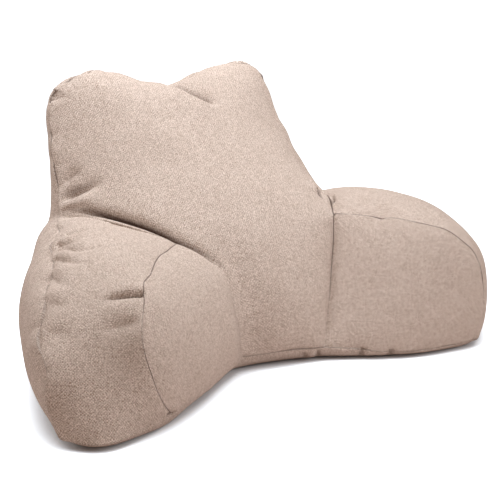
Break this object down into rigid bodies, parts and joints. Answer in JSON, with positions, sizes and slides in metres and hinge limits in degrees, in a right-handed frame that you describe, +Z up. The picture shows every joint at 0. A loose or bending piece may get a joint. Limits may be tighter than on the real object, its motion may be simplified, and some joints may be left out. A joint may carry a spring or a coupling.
{
  "type": "reading pillow",
  "caption": "Stuffed reading pillow that props up a sitter's back, with a padded arm at either side, in a plain woven beige cover with a sagging top edge.",
  "frame": {"origin": "bottom centre of the pillow's box, on the surface it rests on", "axes": "+Z up; -Y is the front, where the sitter's back goes; +X is to the right of someone who faces that front"},
  "size_m": [0.868, 0.5147, 0.4205],
  "materials": {
    "linen": "matt plain weave of heathered beige and pink threads, about 1 mm each"
  },
  "bodies": {
    "root": {"backrest": "linen", "arm_left": "linen", "arm_right": "linen"}
  },
  "joints": []
}
